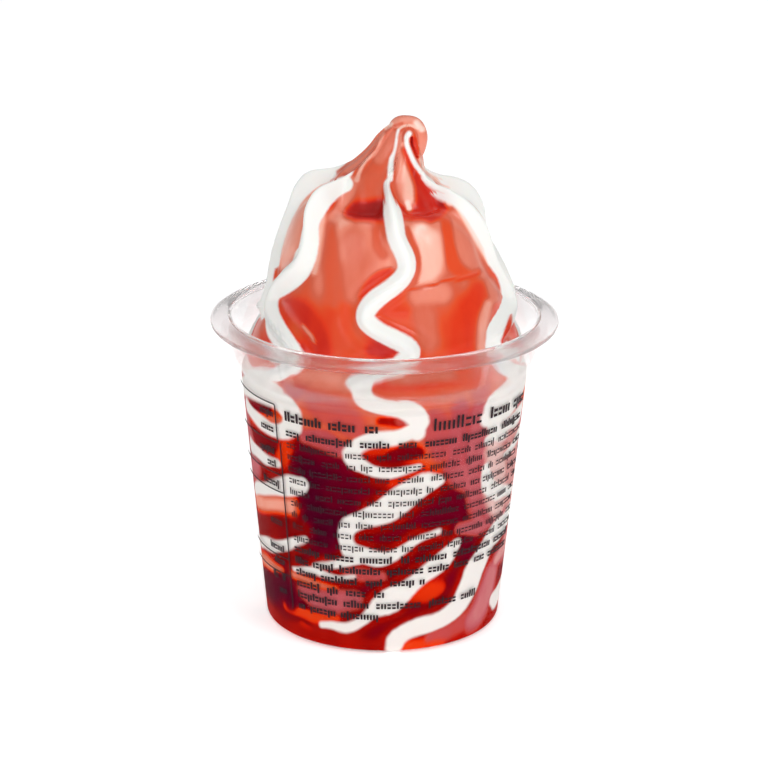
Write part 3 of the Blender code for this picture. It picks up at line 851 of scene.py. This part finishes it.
def swirlGrid():
    # radius, height, angle, distance from the nearest crest and narrowing, ring by ring from the floor up
    stops = columnStops()
    columns = len(stops)
    starts, ends = ([ribAngle(rib + after) for rib, _ in stops] for after in (0, 1))
    plainAngles = np.array([a + share * (b - a) for a, b, (_, share) in zip(starts, ends, stops)])
    away = np.full(columns, swirl["plainAway"])

    def plainRing(radius, height):
        return (np.full(columns, radius), np.full(columns, height), plainAngles, away, np.ones(columns))

    floor = cup["panelRise"] + cup["wall"] - swirl["intoWall"]
    skin = cup["wall"] - swirl["intoWall"]
    fillet, middle = cup["footFillet"] - skin, cup["footRadius"] - cup["footFillet"]
    foot = [(cup["panelRadius"] + 0.4, floor), (cup["panelRadius"] + 1.4, skin)]
    foot += arc(middle, cup["footFillet"], fillet, -90, -6, 8)
    rings = [plainRing(radius, height) for radius, height in foot]
    start = swirl["lobe"][0][1]
    paths, lengths = np.stack([crestPath(rib) for rib in range(len(ribs))]), lobeLengths()
    for height in np.arange(cup["footFillet"] + 0.2, start - 0.2, swirl["ringStep"]):
        rings.append(plainRing(float(outerRadius(height)) - skin, height))
    for index, (a, b) in enumerate(zip(swirl["lobe"], swirl["lobe"][1:])):
        step = swirl["tipStep"] if a[1] > swirl["tipFrom"] else swirl["ringStep"]
        count = max(1, round(math.dist(a, b) / step))
        rings += [swirlRing(index + i / count, stops, paths, lengths) for i in range(count)]
    rings.append(swirlRing(len(swirl["lobe"]) - 1, stops, paths, lengths))
    radius, height, angle, off, narrow = (np.stack([ring[i] for ring in rings]) for i in range(5))
    return np.where(height > start, fillWall(radius, height), radius), height, angle, off, narrow


# The sauce against the wall: heights and distances in mm, tones as above
wallSauce = {
    "degreeWaver": 0.7,
    "heightWaver": 0.35,
    "tone": 0.5,
    "lowTone": 0.48,
    "lowHeights": (46.0, 41.0),
    "farTone": 0.26,
    "farFromCream": (1.0, 3.6),
}
# The open swirl's sauce and cream, in the same measures
openSauce = {
    "meetsWall": (52.5, 57.0),
    "wallBelow": 58.0,
    "creamStarts": (53.0, 57.0),
    "creamSunk": 3.0,
    "reachFrom": 60.0,
    "narrowBandFrom": 88.0,
    "narrowBand": 1.0,
    "creamEnds": (90.5, 93.5),
    "pastCream": 1.2,
    "waverScale": 0.4,
    "waver": 0.1,
    "tone": 0.44,
    "lowTone": 0.2,
    "lowHeights": (76.0, 66.0),
    # a paler band round the shoulder, where the lobes turn up: thinner sauce and painted highlight
    "pale": 0.14,
    "paleHeight": 80.0,
    "paleSpan": 3.5,
    "besideRibTone": 0.1,
    "besideRib": (3.5, 1.8),
    "creaseTone": 0.42,
    "creaseHeight": 85.9,
    "creaseSpan": 1.5,
    "creaseRadii": (16.0, 13.6),
    "creaseInner": 9.0,
}


def hump(value, place, span):
    return np.exp(-(((value - place) / span) ** 2))


def paintWall(degrees, heights):
    # marbling against the wall: how far inside the cream, the sauce's tone and the share of stirred cream
    wobble, wobble2 = ripple(degrees * wallScale, heights, 5), ripple(degrees * wallScale, heights, 9)
    degrees = degrees + wallSauce["degreeWaver"] * wobble
    low = fade(*wallSauce["lowHeights"], heights)
    heights = heights + wallSauce["heightWaver"] * wobble2
    white, stirred = np.full(heights.shape, -farAway), np.zeros(heights.shape)
    for run in whiteRuns:
        white = np.maximum(white, wallField(run, degrees, heights))
    far = fade(*wallSauce["farFromCream"], -white)
    tone = wallSauce["tone"] + wallSauce["lowTone"] * low + wallSauce["farTone"] * far * low
    for value, run in toneRuns:
        weight = dabWeight(run, wallField(run, degrees, heights))
        tone = tone * (1 - weight) + value * weight
    for share, run in stirredRuns:
        stirred = np.maximum(stirred, share * dabWeight(run, wallField(run, degrees, heights)))
    return white, tone, stirred


def paintOpen(x, y, z, front, reach, white, tone):
    # cream and tone with what the camera sees of the open swirl; cream keeps within reach of a crest
    right, above = pictureSpot(x, y, z)
    for run in creamDabs.values():
        seen = np.minimum(runField(run, right, above), reach)
        white = np.where(front > 0.5, np.maximum(white, seen), white)
    for run in bareRuns:
        seen = runField(run, right, above)
        white = np.where(front > 0.5, np.minimum(white, -seen), white)
    for value, run in sauceAndPaintedLightDabs:
        weight = dabWeight(run, runField(run, right, above)) * front
        tone = tone * (1 - weight) + value * weight
    return white, tone


def openColours(degrees, height, radius, off, narrow):
    # the open swirl by its own rule all round: cream on the ribs, deeper sauce low down, a paler band of
    # thinner sauce and painted highlight round the shoulder, and a darker tone in the crease
    across = degrees * openSauce["waverScale"]
    wobble, wobble2 = ripple(across, height, 15), ripple(across, height, 19)
    isNarrow = height > openSauce["narrowBandFrom"]
    bandHalf = np.where(isNarrow, openSauce["narrowBand"], swirl["creamHalfWidth"]) * narrow
    sunk = openSauce["creamSunk"] * (1 - fade(*openSauce["creamStarts"], height))
    top = 1 - fade(*openSauce["creamEnds"], height)
    onRib = (bandHalf - off - sunk + openSauce["waver"] * wobble) * top - openSauce["pastCream"] * (1 - top)
    tone = openSauce["tone"] + openSauce["waver"] * wobble2
    tone = tone + openSauce["lowTone"] * fade(*openSauce["lowHeights"], height)
    # paler band round the shoulder: thinner sauce and painted highlight
    tone = tone - openSauce["pale"] * hump(height, openSauce["paleHeight"], openSauce["paleSpan"])
    tone = tone + openSauce["besideRibTone"] * fade(*openSauce["besideRib"], off)
    crease = fade(*openSauce["creaseRadii"], radius) * (radius > openSauce["creaseInner"])
    crease = crease * hump(height, openSauce["creaseHeight"], openSauce["creaseSpan"])
    return onRib, np.clip(tone + openSauce["creaseTone"] * crease, 0.0, 1.0)


def relief(x, y, z, front):
    # how far a point stands out for the fine ridges, the slit and the fold
    right, above = pictureSpot(x, y, z)
    out = np.zeros(x.shape)
    for rise, run in reliefs:
        half = sum(p[2] for p in run) / len(run)
        out += rise * fade(-1.1 * half - 0.1, 0.6 * half, runField(run, right, above)) * front
    return out


def leanAt(height):
    # how far to the side the swirl's centre lies
    heights = np.linspace(swirl["lean"][0][0], swirl["lean"][-1][0], 200)
    return np.interp(height, heights, [curveThrough(swirl["lean"], z) for z in heights])


def makeIceCream(finish):
    radius, height, angle, off, narrow = swirlGrid()
    rows, columns = radius.shape
    x, y = leanAt(height) + radius * np.sin(angle), -radius * np.cos(angle)
    front = fade(*swirl["frontTurn"], np.cos(angle))
    out = relief(x, y, height, front) * (height > swirl["reliefFrom"])
    x, y = x + out * np.sin(angle), y - out * np.cos(angle)

    degrees = (np.degrees(angle) + 180.0) % 360.0 - 180.0
    white, openTone = openColours(degrees, height, radius, off, narrow)
    reach = np.where(height > openSauce["reachFrom"], swirl["creamReach"] - off, farAway)
    white, openTone = paintOpen(x, y, height, front, reach, white, openTone)
    inCup = 1 - fade(*openSauce["meetsWall"], height)
    packed = np.full(height.shape, -farAway)
    tone, stirred = np.zeros(height.shape), np.zeros(height.shape)
    wall = height[:, 0] < openSauce["wallBelow"]
    packed[wall], tone[wall], stirred[wall] = paintWall(degrees[wall], height[wall])
    packed[wall] -= farAway * fade(*openSauce["creamStarts"], height[wall])
    white = np.maximum(packed, white)
    tone = tone * inCup + openTone * (1 - inCup)
    stirred = stirred * inCup

    points = np.stack([x, y, height], axis=-1).reshape(-1, 3) * mm
    faces = closedFaces(rows, columns)
    fields = {"white": white, "tone": tone, "stirred": stirred, "inCup": inCup}
    fields = {name: values.ravel() for name, values in fields.items()}
    piece = addPiece("iceCream", points.tolist(), faces, finish, fields)
    piece.data.materials.append(iceCreamMaterial("iceCreamBehindPlastic", 0.0))
    behind = [len(face) == 4 and points[face[2]][2] < cup["neckHeight"] * mm for face in faces]
    piece.data.polygons.foreach_set("material_index", [int(flag) for flag in behind])
    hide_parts("soft_serve")
    print("ice cream:", len(points), "points")


def makeTail(finish):
    sides, steps, line = tail["sides"], tail["steps"], tail["line"]
    span = len(line) - 1
    turn = np.arange(sides) * math.tau / sides
    spots, outward = [], []
    for step in range(steps + 1):
        place = span * step / steps
        x, y, z, radius = pointOn(line, place)
        ahead = pointOn(line, min(place + tail["nudge"], span))
        behind = pointOn(line, max(place - tail["nudge"], 0.0))
        dx, dz = ahead[0] - behind[0], ahead[2] - behind[2]
        length = math.hypot(dx, dz)
        normal = np.stack([np.cos(turn) * dz / length, np.sin(turn), -np.cos(turn) * dx / length], axis=-1)
        spots.append(np.array([x, y, z]) + radius * normal)
        outward.append(normal)
    spots, outward = np.concatenate(spots), np.concatenate(outward)
    front = fade(*tail["frontTurn"], outward[:, 1])
    spots = spots + relief(*spots.T, front)[:, None] * outward
    white, tone = np.full(len(spots), tail["cream"]), np.full(len(spots), tail["tone"])
    white, tone = paintOpen(*spots.T, front, farAway, white, tone)
    faces = closedFaces(steps + 1, sides)
    none = np.zeros(len(spots))
    fields = {"white": white, "tone": tone, "stirred": none, "inCup": none}
    piece = addPiece("curledTail", (spots * mm).tolist(), faces, finish, fields)
    builder = bmesh.new()
    builder.from_mesh(piece.data)
    bmesh.ops.recalc_face_normals(builder, faces=builder.faces[:])
    builder.to_mesh(piece.data)
    builder.free()
    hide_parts("soft_serve")
    print("tail curled:", len(spots), "points")


# The print on the wall: rows of plain dark marks, in mm and degrees from the front, and a ruled frame

printing = {
    "proud": 0.04,
    "sunk": 0.03,
    "stroke": 0.24,
    "heavyStroke": 1.4,
    "dash": 0.62,
    "markGap": 0.27,
    "heavyGap": 0.75,
    "wordGap": 0.9,
    "low": 0.95,
    "tall": 1.35,
    "drop": 0.4,
    "seed": 12,
    "marksInGroup": (3, 15),
    "spaceShare": (0.8, 1.6),
    # shares of the marks that are dashes, tall strokes and strokes that reach below the row
    "dashShare": 0.32,
    "tallShare": 0.25,
    "dropShare": 0.1,
    # left and right end, height and scale of each row at the top, and whether it is heavy
    "topRows": [
        (-42.5, -1.0, 47.0, 1.45, True),
        (20.0, 42.0, 47.0, 1.9, False),
        (47.0, 74.0, 47.2, 1.7, True),
    ],
    "left": -42.5,
    "rowTop": 43.9,
    "rowGap": 2.42,
    "rowEnds": [76.0] * 12 + [20.0, 2.0, 48.0, 2.0],
    "heavyRows": [0, 10, 11, 12, 13, 14, 15],
    "heavyScale": 1.12,
    "ink": linear(40, 26, 32),
    "paleInk": linear(52, 34, 40),
}
ruled = {
    "line": 0.24,
    "cuts": 14,
    "left": -82.0,
    "top": 49.5,
    "topEnd": -48.0,
    # height and right end of each rule below the top one
    "rules": [(41.6, -47.6), (34.9, -47.2), (31.2, -47.0), (17.2, -46.6), (13.6, -46.4)],
    "upperSide": (-48.2, -47.6, 41.7, 49.5),
    # the lower side leans, so it is made of short pieces
    "side": (-47.0, -46.4),
    "sideLean": 0.03,
    "sideFoot": 7.0,
    "sideStep": 2.9,
    "sideSteps": 12,
    # rows of marks in the frame
    "rows": [46.8, 43.6, 38.9, 36.3, 32.2, 24.0, 18.4, 15.6, 12.2, 9.4],
    "rowStart": (-62, -56),
    "rowEnd": -49.5,
    "rowScale": 1.05,
}


def wallPoint(degree, height, out):
    turn = math.radians(degree)
    radius = float(outerRadius(height)) + out
    return (radius * math.sin(turn) * mm, -radius * math.cos(turn) * mm, height * mm)


def addBlock(points, faces, left, right, low, high, cuts=1):
    # a thin closed block that follows the wall between two angles and two heights
    first = len(points)
    for i in range(cuts + 1):
        degree = left + (right - left) * i / cuts
        for height in (low, high):
            for out in (-printing["sunk"], printing["proud"]):
                points.append(wallPoint(degree, height, out))
    for i in range(cuts):
        a, b = first + 4 * i, first + 4 * (i + 1)
        faces += [(a + 1, b + 1, b + 3, a + 3), (a, a + 2, b + 2, b)]
        faces += [(a, b, b + 1, a + 1), (a + 2, a + 3, b + 3, b + 2)]
    end = first + 4 * cuts
    faces += [(first, first + 1, first + 3, first + 2), (end, end + 2, end + 3, end + 1)]


def printRow(points, faces, draw, left, right, base, scale, heavy):
    # a row of strokes of uneven height and stacked dashes, in groups of uneven length
    degree = left
    toDegrees = math.degrees(scale / float(outerRadius(base)))
    stroke = printing["stroke"] * (printing["heavyStroke"] if heavy else 1.0)
    gap = printing["markGap"] * (printing["heavyGap"] if heavy else 1.0)
    while degree < right:
        for _ in range(int(draw.integers(*printing["marksInGroup"]))):
            isDash = draw.uniform() < printing["dashShare"]
            wide = (printing["dash"] if isDash else stroke) * toDegrees
            if degree + wide > right:
                break
            high = (printing["tall"] if draw.uniform() < printing["tallShare"] else printing["low"]) * scale
            if isDash:
                thick = stroke * scale
                for low in (base, base + printing["low"] * scale - thick):
                    addBlock(points, faces, degree, degree + wide, low, low + thick)
            else:
                drop = printing["drop"] * scale if draw.uniform() < printing["dropShare"] else 0.0
                addBlock(points, faces, degree, degree + wide, base - drop, base + high)
            degree += wide + gap * toDegrees
        degree += printing["wordGap"] * toDegrees * draw.uniform(*printing["spaceShare"])


def addFrame(points, faces):
    left, line, cuts = ruled["left"], ruled["line"], ruled["cuts"]
    addBlock(points, faces, left, ruled["topEnd"], ruled["top"], ruled["top"] + line, cuts)
    addBlock(points, faces, *ruled["upperSide"])
    for height, end in ruled["rules"]:
        addBlock(points, faces, left, end, height, height + line, cuts)
    for i in range(ruled["sideSteps"]):
        low = ruled["sideFoot"] + i * ruled["sideStep"]
        sideLeft, sideRight = (side + ruled["sideLean"] * i for side in ruled["side"])
        addBlock(points, faces, sideLeft, sideRight, low, low + ruled["sideStep"])


def makePrint():
    made, shader, wire = newMaterial("printInk", {"Roughness": 0.6, "Specular IOR Level": 0.12})
    coords = wire.make("ShaderNodeTexCoord", output=3)
    speck = wire.make("ShaderNodeTexNoise", sockets={"Vector": coords, "Scale": 1500.0, "Detail": 2.0})
    plug(shader, Base_Color=speck.tint([(0.3, printing["ink"]), (0.8, printing["paleInk"])]))
    draw = np.random.default_rng(printing["seed"])
    points, faces = [], []
    for topRow in printing["topRows"]:
        printRow(points, faces, draw, *topRow)
    for row, end in enumerate(printing["rowEnds"]):
        base = printing["rowTop"] - row * printing["rowGap"]
        heavy = row in printing["heavyRows"]
        scale = printing["heavyScale"] if heavy else 1.0
        printRow(points, faces, draw, printing["left"], end, base, scale, heavy)
    for base in ruled["rows"]:
        start = draw.uniform(*ruled["rowStart"])
        printRow(points, faces, draw, start, ruled["rowEnd"], base, ruled["rowScale"], True)
    addFrame(points, faces)
    piece = addPiece("printedMarks", points, faces, made)
    piece.data.set_sharp_from_angle(angle=math.radians(30))
    print("print:", len(faces), "faces")


placeCamera()
setStudio()
print("studio set")
makeCup()
finish = iceCreamMaterial("iceCreamAndSauce", 1.0)
makeIceCream(finish)
makeTail(finish)
makePrint()
